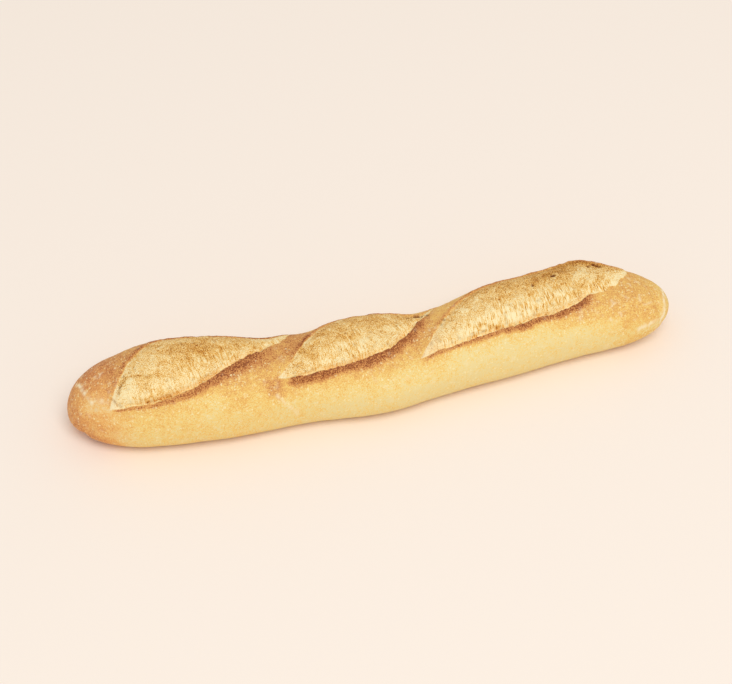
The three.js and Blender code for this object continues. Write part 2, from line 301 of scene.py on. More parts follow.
# Browner parts of the crumb, or paler ones below 0: places (x, angle), size and change
TOASTED_SPOTS = [
    ([(-113, 14)], 10, 0.08),
    ([(-95, 10)], 8, 0.15),
    ([(136, -4), (151, -7)], 9, 0.24),
    ([(1, 23)], 7, 0.14),
    ([(-22, 8)], 6, 0.24),
    ([(118, 30)], 12, 0.06),
    ([(42, -8), (60, 2)], 15, -0.2),
    ([(108, 15), (114, 22), (120, 27), (128, 27), (135, 22.5)], 2.2, 0.14),
    ([(137, 38), (144, 36), (151, 32), (158, 31)], 3, 0.14),
    ([(171, 24)], 4, 0.1),
    ([(66, -20), (70, -25), (77, -28)], 1.3, 0.45),
    # painted shade along the cracks of the first cut, in brown
    ([(-173.5, -36), (-171.5, -39), (-170, -46)], 0.7, 0.4),
    ([(-168, -33), (-166.5, -25), (-162, -15), (-153, -16)], 0.9, 0.28),
    ([(-74, 26), (-62, 32)], 6, -0.2),
    ([(-173, -43), (-162, -36)], 7, -0.44),
    ([(-141, -29), (-128, -28)], 6, -0.3),
    ([(-120, -23), (-112, -16), (-98, -4), (-86, 4)], 5, -0.24),
    ([(-126, 4)], 7, 0.14),
    ([(140, 15), (153, 10), (165, 8)], 6, -0.2),
    ([(116, 1)], 5, -0.14),
    ([(-158, -8), (-136, -12)], 6, -0.1),
    ([(82, -20), (90, -24)], 4, -0.14),
    ([(-152, 2), (-144, 10)], 5, -0.16),
    ([(58, 4), (68, 11)], 6, -0.22),
]
# Where crumb turns into crust, inside the near edge and about the far edge
NEAR_BLEND, FAR_BLEND = (0, 0.25), (-0.2, 0.4)
TOASTED_RISE = (0.1, 0.8)  # shares of the cut's width, from the ear
BAND_EDGES = (0.5, 1.5)  # shares of the band's height, over which it fades
BAND_OVERLAP = 0.1  # how far it reaches past the near edge
EAR_GLOW, EAR_GLOW_REACH = 0.24, 3.2  # of the crust below an ear, in heights of the band
BAND_UNEVEN = [(17, 0.35), (5, 0.22)]  # (size, change) of the band's height
BAND_MOTTLE = [(11, 0.12), (3, 0.1)]  # and of its browning
FAR_RIM_BAKED, FAR_RIM_WIDTH = 0.38, 1.3  # the thin crust past a far edge
FAR_RIM_START = (0.04, 0.17)  # shares of the cut's length
RIDGE_BAKED, RIDGE_BAKED_AT, RIDGE_BAKED_WIDTH = 0.22, 1, 3.5
STRIPES_BAKED = 0.14
FLAKE_PALE = 0.14
# Paler crumb beside an ear: it browned less there, and it is painted light against the shade of
# the groove behind the ear
BESIDE_EAR, BESIDE_EAR_PALE = 3.5, 0.14  # the crumb is palest this close to an ear
FAR_EDGE, FAR_EDGE_PALE = 1.3, 0.34  # and this close to a line inside the far edge
FAR_EDGE_AT = 0.8  # the distance of that line, which is broken up
FAR_EDGE_BREAKS, FAR_EDGE_BROKEN = 5, (-0.35, 0.2)  # size, and edges of the noise
FAR_EDGE_FADE = (0.3, 0.45)  # shares of the cut's length, where it ends
# painted shade in the pores
PORE_SHADE = 0.5
# painted shade in a hole, darker the deeper it is
HOLE_SHADE = 0.65  # for each mm of depth
HOLE_EDGES = (0.12, 0.55)  # shares of the depth
BLISTER_PALENESS = 0.35
TIP_PALENESS = 0.6
# How many of the light specks show, from none, 0, to all, 1
SPECKS_EVERYWHERE = 0.38
SPECKS_WHERE_BAKED = 0.1
SPECKS_BELOW_EAR = 0.4
# The ribbons of crust between the cuts have fewer
SMOOTH_TOP = {"from_x": (-115, -90), "to_x": (120, 150), "from_angle": (-18, 8)}
SMOOTH_TOP_LACKS = 0.85

# ------- the studio, in mm and degrees

PHOTO_WIDTH = 732  # pixels
PIXELS_PER_MM = 1.557
SENSOR = 36  # mm, its width
VIEW_AZIMUTH = -13.6
VIEW_ELEVATION = 45
VIEW_DISTANCE = 1400
VIEW_TARGET = (0, -2.65, 25)
VIEW_LEFT, VIEW_UP = 7.19, 8.29  # from the target to the middle of the picture
WORLD_STRENGTH = 0.62
# In metres and watts
LIGHT = {"name": "key", "azimuth": 8, "elevation": 62, "distance": 4, "size": 2.4, "power": 71}
FLOOR_SIZE = 8
FLOOR_COLOUR = (253, 240, 227)

# ------- small maths


def smoothstep(value, low, high):
    t = np.clip((value - low) / (high - low), 0, 1)
    return t * t * (3 - 2 * t)


def bell(distance, width):
    return np.exp(-((distance / width) ** 2))


def lerp(low, high, share):
    return low + (high - low) * share


def unit(vectors):
    return vectors / np.maximum(np.linalg.norm(vectors, axis=-1, keepdims=True), TINY)


def through(points, x):
    """A smooth curve through points of (x, value)."""
    xs, values = np.array(points, float).T
    slopes = np.empty_like(values)
    slopes[1:-1] = (values[2:] - values[:-2]) / (xs[2:] - xs[:-2])
    slopes[0] = (values[1] - values[0]) / (xs[1] - xs[0])
    slopes[-1] = (values[-1] - values[-2]) / (xs[-1] - xs[-2])
    i = np.clip(np.searchsorted(xs, x) - 1, 0, len(xs) - 2)
    span = xs[i + 1] - xs[i]
    t = np.clip((x - xs[i]) / span, 0, 1)
    rise = t * t * (3 - 2 * t)
    bulge = t * (1 - t) * span
    return lerp(values[i], values[i + 1], rise) + bulge * ((1 - t) * slopes[i] - t * slopes[i + 1])


def uneven(places, size, kind, number=0):
    """Smooth noise from about -1 to 1 at places of shape (..., 3), with lumps of that size."""
    scaled = (np.asarray(places, float) / size + (SEEDS[kind] + number)).reshape(-1, 3)
    values = [noise.noise(Vector(place)) for place in scaled.tolist()]
    return np.array(values).reshape(np.shape(places)[:-1])


def uneven_sum(places, sizes, kind, number=0):
    """A sum of such noises, from pairs of (size, height)."""
    return sum(height * uneven(places, size, kind, number) for size, height in sizes)


def uneven_along(x, sizes, kind, number=0):
    """The same sum along one line."""
    places = np.stack([x, np.zeros_like(x), np.zeros_like(x)], axis=-1)
    return uneven_sum(places, sizes, kind, number)


# ------- the crust


def end_share(x):
    """How much of the full section is left at x."""
    left = (-x - (HALF - LEFT_END["reach"])) / LEFT_END["reach"]
    right = (x - (HALF - RIGHT_END["reach"])) / RIGHT_END["reach"]
    q = np.clip(np.maximum(left, right), 0, 1)
    return np.sqrt(1 - q**END_ROUNDNESS)


def crust_point(x, angle):
    """The uncut crust, with its round underside still going below the base."""
    x, angle = np.broadcast_arrays(x, angle)
    share = end_share(x)
    tip_height = np.where(x < 0, LEFT_END["tip_height"], RIGHT_END["tip_height"])
    waist = lerp(tip_height, WAIST_HEIGHT, share)
    above = (through(CREST, x) - WAIST_HEIGHT) * share
    below = (WAIST_HEIGHT + SINK) * share
    up, out = np.cos(np.radians(angle)), np.sin(np.radians(angle))
    power = 2 / np.where(up > 0, UPPER_ROUNDNESS, LOWER_ROUNDNESS)
    height = np.abs(up) ** power * np.where(up > 0, above, -below)
    width = np.abs(out) ** power * np.sign(out) * through(SIDES, x) * share
    return np.stack([x, through(BEND, x) + width, waist + height], axis=-1)


def crust_axes(x, angle):
    """The crust's outward direction, and its direction towards the far side."""
    step = 0.2
    middle = np.clip(x, 2 * step - HALF, HALF - 2 * step)
    along = crust_point(middle + step, angle) - crust_point(middle - step, angle)
    across = crust_point(middle, angle + step) - crust_point(middle, angle - step)
    return unit(np.cross(along, across)), unit(across)


def swelling_relief(swelling, x, angle):
    offset = x - swelling["x"] - swelling["lean"] * np.cos(np.radians(angle))
    round_by = (angle - swelling["middle"] + 180) % 360 - 180
    share = bell(offset, swelling["width"]) * bell(round_by, swelling["span"])
    return swelling["height"] * share


# ------- the slashes


def slash_edges(slash, a):
    """The angles of a slash's near and far edges, at a share a of its length."""
    path = lerp(slash["near"], slash["end"], a ** slash["curl"])
    tail = slash["mouth"] * (1 - slash["widest"]) / slash["widest"]
    opening = (a / slash["widest"]) ** slash["mouth"]
    closing = ((1 - a) / (1 - slash["widest"])) ** tail
    fade = smoothstep(middle_share(a), 0, KINK_FADE)
    near_bends, far_bends = (
        fade * sum(turn * bell(a - at, reach) for at, turn, reach in slash[kinks])
        for kinks in ("kinks", "far_kinks")
    )
    return path + near_bends, path + slash["gape"] * opening * closing + far_bends


def place_in_slash(slash, x, angle):
    """The share a of its length, the distances inside its near and far edges, and its slope."""
    a = np.clip((x - slash["start"]) / slash["length"], TINY, 1 - TINY)
    near, far = slash_edges(slash, a)
    next_near, next_far = slash_edges(slash, np.minimum(a + 1 / slash["length"], 1 - TINY))
    near_slope = (next_near - near) * SIDE_PER_DEGREE
    far_slope = (next_far - far) * SIDE_PER_DEGREE
    from_near = (angle - near) * SIDE_PER_DEGREE / np.hypot(1, near_slope)
    from_far = (far - angle) * SIDE_PER_DEGREE / np.hypot(1, far_slope)
    return a, from_near, from_far, near_slope


def middle_share(a):
    return np.sqrt(np.sin(a * np.pi))


def ear_share(slash, a):
    rising = smoothstep(a, slash["ear_from"], slash["ear_from"] + EAR_TAPER)
    return rising * (1 - smoothstep(a, slash["ear_to"] - EAR_TAPER, slash["ear_to"]))


def crown_height(slash, a):
    tail = slash["fullness"] * (1 - slash["crown_at"]) / slash["crown_at"]
    before = (a / slash["crown_at"]) ** slash["fullness"]
    return slash["crown"] * before * ((1 - a) / (1 - slash["crown_at"])) ** tail


def ragged_place(slash, number, x, angle):
    """place_in_slash, with the far edge's fine unevenness."""
    a, from_near, from_far, slope = place_in_slash(slash, x, angle)
    depth = uneven_along(x, RAGGED, "ragged", number) * smoothstep(middle_share(a), 0, RAGGED_FADE)
    past_ear = smoothstep(a, slash["ear_to"] - EAR_TAPER / 2, slash["ear_to"]) * (a < 1 - 2 * TINY)
    torn = uneven_along(x, TORN_END, "torn_end", number) * past_ear
    return a, from_near + torn, from_far + depth, slope


def slash_relief(slash, number, x, angle):
    """What a slash adds to the crust: a height, and a lean towards the far side."""
    a, from_near, from_far, _ = ragged_place(slash, number, x, angle)
    notched = 1 + uneven_along(x, NOTCHES, "notches", number)
    ear = slash["ear"] * ear_share(slash, a) * notched
    crown = crown_height(slash, a)
    crease = CREASE_DEPTH * middle_share(a) * bell(from_far, CREASE_WIDTH)
    flank = ear * bell(from_near, EAR_WIDTH) * (from_far > 0)

    lip = FAR_LIP["height"] * middle_share(a) * bell(from_far + FAR_LIP["at"], FAR_LIP["width"])
    lip = lip * (1 + uneven_along(x, FAR_NOTCHES, "far_notches", number))
    beyond = crown * FAR_LEVEL * (1 - smoothstep(-from_far, 0, FAR_SLOPE)) - crease + lip

    across = np.clip(from_near / np.maximum(from_near + from_far, TINY), 0, 1)
    shoulder = np.sin(np.minimum(across / SHOULDER, 1) * np.pi / 2) ** CROWN_ROUNDNESS
    crumb = crown * shoulder * lerp(1, FAR_LEVEL, smoothstep(across, BROW, 1))
    groove = GROOVE_DEPTH * ear_share(slash, a) * bell(from_near - GROOVE_AT, GROOVE_WIDTH)
    ear_back = ear * np.clip(1 - from_near / GROOVE_AT, 0, 1)
    inside = crumb - groove - crease + ear_back

    on_flank, past_far = from_near <= 0, from_far <= 0
    height = np.where(on_flank, flank, np.where(past_far, beyond, inside))
    lean = EAR_LEAN * np.where(on_flank, flank, np.where(past_far, 0, ear_back))
    return height, lean


def ridge_relief(x, angle):
    """The torn crust that stands up along part of a far edge."""
    number = TORN_RIDGE["slash"]
    a, _, from_far, _ = ragged_place(SLASHES[number], number, x, angle)
    reach = bell(a - TORN_RIDGE["at"], TORN_RIDGE["reach"])
    notched = 1 + uneven_along(x, FAR_NOTCHES, "ridge")
    return TORN_RIDGE["height"] * reach * notched * bell(from_far, TORN_RIDGE["width"])


# ------- stations and section lines


def spread(low, high, density, shares):
    """The places at shares of the way from low to high, closer where density is higher."""
    table = np.concatenate([[0], np.cumsum(density)])
    places = np.linspace(low, high, len(density) + 1)
    return np.interp(np.asarray(shares) * table[-1], table, places)


def make_stations():
    middles = -HALF + (np.arange(TABLE_STEPS) + 0.5) * 2 * HALF / TABLE_STEPS
    density = 1 + TIP_DENSITY * bell(HALF - np.abs(middles), TIP_DENSITY_WIDTH)
    shares = np.arange(1, STATIONS) / STATIONS
    return spread(-HALF, HALF, density, shares)[:, None]


def make_section_angles(x):
    """Each station's angles, with one of them moved onto the crest of each ear."""
    middles = -180 + (np.arange(TABLE_STEPS) + 0.5) * 360 / TABLE_STEPS
    density = 1 + TOP_DENSITY * np.maximum(np.cos(np.radians(middles)), 0)
    density = np.repeat(density[None, :], len(x), axis=0)
    for slash in SLASHES:
        a, from_near, from_far, _ = place_in_slash(slash, x, middles[None, :])
        density += NEAR_DENSITY * middle_share(a) * bell(from_near, DENSITY_WIDTH)
        density += FAR_DENSITY * middle_share(a) * bell(from_far, DENSITY_WIDTH)
    shares = np.arange(SECTION_LINES) / SECTION_LINES
    angles = np.array([spread(-180, 180, row, shares) for row in density])
    for slash in SLASHES:
        a = (x[:, 0] - slash["start"]) / slash["length"]
        rows = np.flatnonzero((a > 0) & (a < 1))
        crest = slash_edges(slash, a[rows])[0]
        nearest = np.abs(angles[rows] - crest[:, None]).argmin(axis=1)
        angles[rows, nearest] = crest
    return angles


def make_form():
    """The loaf's form, before its fine relief: rings of points with their outward directions."""
    x = make_stations()
    angle = make_section_angles(x)
    height = ridge_relief(x, angle)
    lean = np.zeros_like(angle)
    for number, slash in enumerate(SLASHES):
        more_height, more_lean = slash_relief(slash, number, x, angle)
        height = height + more_height
        lean = lean + more_lean
    for swelling in SWELLINGS:
        height = height + swelling_relief(swelling, x, angle)
    outward, across = crust_axes(x, angle)
    strength = np.sqrt(end_share(x))
    points = crust_point(x, angle)
    points += outward * (height * strength)[..., None]
    points += across * (lean * strength)[..., None]
    points[..., 2] = np.maximum(points[..., 2], 0)
    middle = (points.min(axis=(0, 1)) + points.max(axis=(0, 1))) / 2
    points[..., 1] += (LOW[1] + HIGH[1]) / 2 - middle[1]
    along = np.gradient(points, axis=0)
    round_it = np.roll(points, -1, axis=1) - np.roll(points, 1, axis=1)
    normals = unit(np.cross(along, round_it))
    return SimpleNamespace(x=x, angle=angle, points=points, normals=normals)


# ------- fine relief, baking and painted shade

# What the material reads at each point of the mesh:
# crumb: 1 on torn crumb, 0 on crust
# baked: from pale, 0, to dark brown, 1; rosy: 1 where that brown is redder
# pale: flour and blisters; then the painted shade in the holes, pores and cracks
# striped: how clear the crumb's stripes are; specked: how many light specks the crust has
# cut_x, cut_y: the place along and across a cut, in metres, which the crumb's stripes follow
FIELD_NAMES = (
    "crumb", "baked", "rosy", "pale", "dark", "striped", "specked", "cut_x", "cut_y",
)


def mark(form, path, width):
    """A line of that width over the surface through places (x, angle): 1 on it, 0 far from it."""
    corners = np.arange(len(path))
    steps = np.linspace(0, len(path) - 1, STREAK_STEPS * (len(path) - 1) + 1)
    xs, angles = (np.interp(steps, corners, column) for column in zip(*path))
    distance = np.full_like(form.angle, np.inf)
    for x, angle in zip(xs, angles):
        ring = np.abs(form.x[:, 0] - x).argmin()
        line = np.abs(form.angle[ring] - angle).argmin()
        away = np.linalg.norm(form.points - form.points[ring, line], axis=-1)
        distance = np.minimum(distance, away)
    return bell(distance, width)


def patch_share(patch, x, angle):
    """How much of a patch there is at a place, from 0 to 1."""
    along, round_it = 1, 1
    if "from_x" in patch:
        along = along * smoothstep(x, *patch["from_x"])
    if "to_x" in patch:
        along = along * (1 - smoothstep(x, *patch["to_x"]))
    if "from_angle" in patch:
        round_it = round_it * smoothstep(angle, *patch["from_angle"])
    if "to_angle" in patch:
        round_it = round_it * (1 - smoothstep(angle, *patch["to_angle"]))
    if "from_angle" in patch or "to_angle" in patch:
        round_it = lerp(round_it, TIPS_SHARE, smoothstep(abs(x), *TIPS_EVEN))
    return along * round_it


def crust_baking(form):
    """How brown the crust is: most on top and at the left end, least on the flanks."""
    unbaked = 1 - FLANK_BAKED
    for baked, patch in BAKED_AND_PAINTED_LIGHT_PATCHES:
        unbaked = unbaked * (1 - baked * patch_share(patch, form.x, form.angle))
    underside = 1 - smoothstep(form.points[..., 2], *UNDERSIDE_HEIGHTS)
    unbaked = unbaked * (1 - UNDERSIDE_BAKED * underside)
    return 1 - unbaked + uneven_sum(form.points, CRUST_MOTTLE, "crust_mottle")


def bake_band(slash, number, x, a, from_near, baked):
    """Browns an ear's outer face and gilds the crust below: the baking, the face and the glow."""
    along = smoothstep(a, 0, slash["band_full"])
    band = lerp(*slash["band"], along) * (1 + uneven_along(x, BAND_UNEVEN, "band", number))
    face = 1 - smoothstep(-from_near, BAND_EDGES[0] * band, BAND_EDGES[1] * band)
    strength = lerp(*slash["band_baked"], along)
    strength = strength * (1 + uneven_along(x, BAND_MOTTLE, "band_mottle", number))
    strength = np.clip(strength, 0, 1) * smoothstep(a, *slash["band_start"])
    strength = strength * (1 - smoothstep(a, *slash["band_end"]))
    glow = (1 - face) * bell(from_near / band, EAR_GLOW_REACH) * strength
    return lerp(baked, 1, face * strength) + EAR_GLOW * glow, face * (strength > 0), glow


def add_cut(form, fields, number, slash):
    """One cut's crumb, its browned ear and rim, and its pale tip."""
    x, angle = form.x, form.angle
    a, from_near, from_far, slope = ragged_place(slash, number, x, angle)
    in_length = (a > 2 * TINY) & (a < 1 - 2 * TINY)
    torn_skin = uneven_along(x, TORN_SKIN, "torn_skin", number) - TORN_SKIN_WIDTH
    here = smoothstep(from_near + torn_skin, *NEAR_BLEND) * smoothstep(from_far, *FAR_BLEND)
    here = here * in_length
    inside = here > 0
    fields.crumb = np.maximum(fields.crumb, here)
    fields.cut_x = np.where(inside, x + STRIPE_TURN * slope * from_near, fields.cut_x)
    fields.cut_y = np.where(inside, from_near, fields.cut_y)

    share = np.clip(from_near / np.maximum(from_near + from_far, TINY), 0, 1)
    striped = slash["stripes"] * (1 - smoothstep(share, *STRIPES_FADE))
    fields.striped = np.where(inside, striped, fields.striped)
    level = lerp(*slash["toasted"], smoothstep(share, *TOASTED_RISE))
    # paler beside the ear, partly painted light against the groove's shade
    level = level - BESIDE_EAR_PALE * bell(from_near, BESIDE_EAR)
    broken = smoothstep(uneven(form.points, FAR_EDGE_BREAKS, "far_edge"), *FAR_EDGE_BROKEN)
    at_start = broken * (1 - smoothstep(a, *FAR_EDGE_FADE))
    level = level - FAR_EDGE_PALE * bell(from_far - FAR_EDGE_AT, FAR_EDGE) * at_start
    fields.toasted = np.where(inside, level, fields.toasted)

    on_flank = (from_near <= BAND_OVERLAP) & in_length & (from_far > 0)
    browned, face, glow = bake_band(slash, number, x, a, from_near, fields.baked)
    fields.baked = np.where(on_flank, browned, fields.baked)
    specked = fields.specked + SPECKS_BELOW_EAR * np.where(on_flank, glow, 0)
    fields.specked = np.where(on_flank, specked * (1 - face), specked)

    rim = bell(from_far + FAR_LIP["at"], FAR_RIM_WIDTH) * middle_share(a) * (from_near > 0)
    rim = rim * smoothstep(a, *FAR_RIM_START)
    fields.baked = fields.baked + FAR_RIM_BAKED * rim * in_length
    tip = here * (1 - smoothstep(a, 0.0, slash["pale_tip"]))
    fields.pale = np.maximum(fields.pale, TIP_PALENESS * tip)


def add_ridge(form, fields):
    """The toasting along the torn ridge."""
    number = TORN_RIDGE["slash"]
    a, _, from_far, _ = ragged_place(SLASHES[number], number, form.x, form.angle)
    reach = bell(a - TORN_RIDGE["at"], TORN_RIDGE["reach"])
    fields.toasted += RIDGE_BAKED * (reach * bell(from_far - RIDGE_BAKED_AT, RIDGE_BAKED_WIDTH))


def add_roughness(form, fields):
    """The crust's lumps, the crumb's spots, stripes, grain, flakes, plate and pores, and painted
    shade.
    """
    x, angle, points, crumb = form.x, form.angle, form.points, fields.crumb
    fields.toasted += uneven_sum(points, CRUMB_MOTTLE, "crumb_mottle")
    for path, size, change in TOASTED_SPOTS:
        fields.toasted += change * mark(form, path, size)

    striped_parts = smoothstep(uneven(points, STRIPED_SIZE, "striped"), *STRIPED_EDGES)
    fields.striped = fields.striped * striped_parts
    stripe_places = [fields.cut_x / STRIPE_SPACING, fields.cut_y / STRIPE_REACH, 0 * fields.cut_x]
    stripes = fields.striped * uneven(np.stack(stripe_places, axis=-1), 1, "stripes")
    grain = uneven_sum(points, GRAIN, "grain")
    flaky = uneven(points, FLAKE_SIZE, "flakes")
    flakes = smoothstep(flaky, *FLAKE_EDGES)
    # painted shade: a browner line round the raised flakes
    fields.toasted += FLAKE_SHADE_STRENGTH * bell(flaky - FLAKE_SHADE_LINE[0], FLAKE_SHADE_LINE[1])
    plate = smoothstep(x, *PLATE["from_x"]) * (1 - smoothstep(x, *PLATE["to_x"]))
    plate = plate * (1 - smoothstep(angle, *PLATE["below"])) * crumb
    pores = np.maximum(uneven(points, PORE_SIZE, "pores") - PORE_SHARE, 0)
    rough = STRIPE_HEIGHT * stripes + grain + FLAKE_HEIGHT * flakes - PORE_DEPTH * pores

    fields.height = uneven_sum(points, LUMPS, "lumps")
    fields.height += crumb * rough + PLATE["height"] * plate
    fields.toasted += STRIPES_BAKED * stripes - FLAKE_PALE * flakes - PLATE["pale"] * plate
    # painted shade in the pores
    fields.dark += crumb * np.clip(PORE_SHADE * pores, 0, 1)


def add_marks(form, fields):
    """The blisters, streaks, scratches, holes and dents, and the painted shade in cracks and
    holes.
    """
    crust = 1 - fields.crumb
    for blister in scatter_blisters():
        spot = mark(form, [blister["at"]], blister["size"]) * crust
        fields.height += BLISTER_HEIGHT * blister["strength"] * spot
        fields.pale += BLISTER_PALENESS * blister["strength"] * spot
    breaks = STREAK_BREAK_DEPTH * uneven(form.points, STREAK_BREAKS, "streaks")
    whole = np.clip(STREAK_WHOLE + breaks, 0, 1)
    for path, width, height, pale, dark in STREAKS + scatter_scratches():
        line = mark(form, path, width)
        fields.height += height * line
        fields.pale += pale * line * whole * crust
        # painted shade in the cracks
        fields.dark += dark * line * whole
    for place, size, depth in HOLES:
        spot = mark(form, [place], size)
        fields.height -= depth * spot
        # painted shade in the holes, darker the deeper they are
        fields.dark += HOLE_SHADE * depth * smoothstep(spot, *HOLE_EDGES)
    for place, size, depth, browned in DENTS:
        spot = mark(form, [place], size)
        fields.height -= depth * spot
        fields.baked += browned * spot


def make_fields(form):
    """The fine relief's height and the numbers that the material reads, for every point."""
    x, angle = form.x, form.angle
    shape = angle.shape
    baked = crust_baking(form)
    specked = SPECKS_EVERYWHERE + SPECKS_WHERE_BAKED * baked
    empty = ("crumb", "toasted", "pale", "dark", "striped", "cut_y")
    fields = SimpleNamespace(
        **{name: np.zeros(shape) for name in empty},
        baked=baked,
        rosy=np.broadcast_to(patch_share(ROSY, x, angle), shape),
        specked=specked * (1 - SMOOTH_TOP_LACKS * patch_share(SMOOTH_TOP, x, angle)),
        cut_x=np.repeat(x, shape[1], axis=1),
    )
    for number, slash in enumerate(SLASHES):
        add_cut(form, fields, number, slash)
    add_ridge(form, fields)
    add_roughness(form, fields)
    add_marks(form, fields)
    fields.baked = np.clip(lerp(fields.baked, fields.toasted, fields.crumb), 0, 1)
    fields.pale = np.clip(fields.pale, 0, 1)
    fields.dark = np.clip(fields.dark, 0, 1)
    fields.specked = np.clip(fields.specked, 0, 1) * (1 - fields.crumb)
    fields.cut_x = fields.cut_x * MM
    fields.cut_y = fields.cut_y * MM
    return fields


def scatter_blisters():
    """Seeded places of the crust's small blisters."""
    draw = random.Random(BLISTER_SEED)
    return [
        {
            "at": (draw.uniform(-HALF, HALF), draw.uniform(*BLISTER_ANGLES)),
            "size": draw.uniform(*BLISTER_SIZE),
            "strength": draw.uniform(*BLISTER_STRENGTH),
        }
        for _ in range(BLISTERS)
    ]


def scatter_scratches():
    """Seeded short streaks over the crust of the ends, as STREAKS has them."""
    draw = random.Random(SCRATCH_SEED)
    scratches = []
    for patch in SCRATCHES:
        for _ in range(patch["count"]):
            x, angle = draw.uniform(*patch["x"]), draw.uniform(*patch["angle"])
            along, around = (draw.uniform(-reach, reach) for reach in SCRATCH_REACH)
            bow = draw.uniform(-SCRATCH_BOW, SCRATCH_BOW)
            middle = (x + along / 2 - bow * along, angle + around / 2 + bow * around)
            path = [(x, angle), middle, (x + along, angle + around)]
            width = draw.uniform(*SCRATCH_WIDTH)
            scratches.append((path, width, SCRATCH_HEIGHT, patch["pale"], 0))
    return scratches


# ------- the loaf's mesh


def add_bake_map(mesh, rings, lines):
    """A texture map whose first axis runs along the loaf and whose second runs round it."""
    ring, line = np.divmod(np.arange((rings - 1) * lines), lines)
    along = np.stack([ring, ring + 1, ring + 1, ring], axis=1) + 1
    round_it = np.stack([line, line, line + 1, line + 1], axis=1)

    # each line has one triangle at the left tip and then one at the right tip
    line = np.arange(lines)
    tips_along = np.tile([0, 1, 1, rings + 1, rings, rings], lines)
    tips_round = np.stack([line + 0.5, line, line + 1, line + 0.5, line + 1, line], axis=1)
    u = np.concatenate([along.ravel(), tips_along]) / (rings + 1)
    v = np.concatenate([round_it.ravel(), tips_round.ravel()]) / lines
    places = np.stack([u, v], axis=1).astype(np.float32)
    mesh.uv_layers.new(name="OFBake").data.foreach_set("uv", places.ravel())


def make_loaf():
    """The loaf's fine mesh: its form and relief, closed at both tips, with its fields."""
    form = make_form()
    fields = make_fields(form)
    fade = smoothstep(form.points[..., 2], *BASE_FADE)
    points = form.points + form.normals * (fields.height * fade)[..., None]
    rings, lines = form.angle.shape
    left_tip, right_tip = points[0].mean(axis=0), points[-1].mean(axis=0)
    left_tip[0], right_tip[0] = -HALF, HALF
    vertices = np.concatenate([points.reshape(-1, 3), [left_tip, right_tip]]) * MM
    left, right = rings * lines, rings * lines + 1
    last = (rings - 1) * lines

    pairs = [(j, (j + 1) % lines) for j in range(lines)]
    faces = [
        (ring + j, ring + lines + j, ring + lines + k, ring + k)
        for ring in range(0, last, lines)
        for j, k in pairs
    ]
    for j, k in pairs:
        faces += [(left, j, k), (right, last + k, last + j)]

    mesh = bpy.data.meshes.new("baguette_loaf")
    mesh.from_pydata(vertices.tolist(), [], faces)
    mesh.polygons.foreach_set("use_smooth", [True] * len(mesh.polygons))
    for name in FIELD_NAMES:
        values = getattr(fields, name)
        ends = [values[0].mean(), values[-1].mean()]
        column = np.concatenate([values.ravel(), ends]).astype(np.float32)
        mesh.attributes.new(name, "FLOAT", "POINT").data.foreach_set("value", column)
    add_bake_map(mesh, rings, lines)
    mesh.update()
    loaf = bpy.data.objects.new("baguette_loaf", mesh)
    bpy.context.scene.collection.objects.link(loaf)
    return loaf


# ------- materials


def srgb(red, green, blue):
    """A colour given as it shows on a screen, 0 to 255, as the shader wants it."""
    shares = [value / 255 for value in (red, green, blue)]
    linear = [s / 12.92 if s <= 0.04045 else ((s + 0.055) / 1.055) ** 2.4 for s in shares]
    return (*linear, 1)


CRUST_COLOURS = [
    (0.0, (240, 219, 157)),
    (0.15, (245, 212, 128)),
    (0.35, (239, 188, 101)),
    (0.55, (223, 164, 94)),
    (0.75, (203, 134, 76)),
    (0.9, (176, 104, 53)),
    (1.0, (136, 74, 37)),
]
CRUMB_COLOURS = [
    (0.0, (255, 237, 186)),
    (0.3, (248, 212, 142)),
    (0.55, (238, 187, 100)),
    (0.75, (221, 157, 66)),
    (0.9, (199, 127, 45)),
    (1.0, (160, 95, 36)),
]
ROSY_TINT = (255, 242, 251)
FLOUR = (253, 235, 194)
SPECK_COLOUR = (255, 238, 184)
# the colour of the painted shade in the holes, pores and cracks
SHADE_BROWN = (116, 58, 14)

# Sizes in mm, and how far each texture shifts the baking
SPECKLE_SIZE, SPECKLE_CONTRAST = 0.55, 2.6
SPECKLE_CALM = 0.5  # how much weaker the speckles are where the stripes are clearest
STRIPE_SIZE, STRIPE_CONTRAST = 1.0, 3.0
STRIPE_STRETCH = 0.2  # how much longer the stripes are than wide, as its inverse
FACET_SIZE, FACET_CONTRAST = 2.2, 0.14
FACET_WARP_SIZE, FACET_WARP = 1.1, 1.6  # which makes the facets ragged
SKIN_SIZE, SKIN_CONTRAST = 0.7, 0.85
SKIN_CONTRAST_BAKED = 0.7  # added where the crust is all baked
BLOTCH_SIZE, BLOTCH_CONTRAST = 3.5, 0.4
SPECK_SPACING = 1.9
SPECK_EDGES = (0.05, 0.5)  # shares of the spacing
SPECK_WARP_SIZE, SPECK_WARP = 0.9, 2.2
SPECK_PALENESS, SPECK_VARIETY = 0.95, 0.6
SPECK_BUMP, SKIN_BUMP = 0.3, 0.8
BUMP_STRENGTH, BUMP_DEPTH = 0.6, 0.4
CRUST_ROUGHNESS, CRUMB_ROUGHNESS = 0.6, 0.8
SPECULAR = 0.2


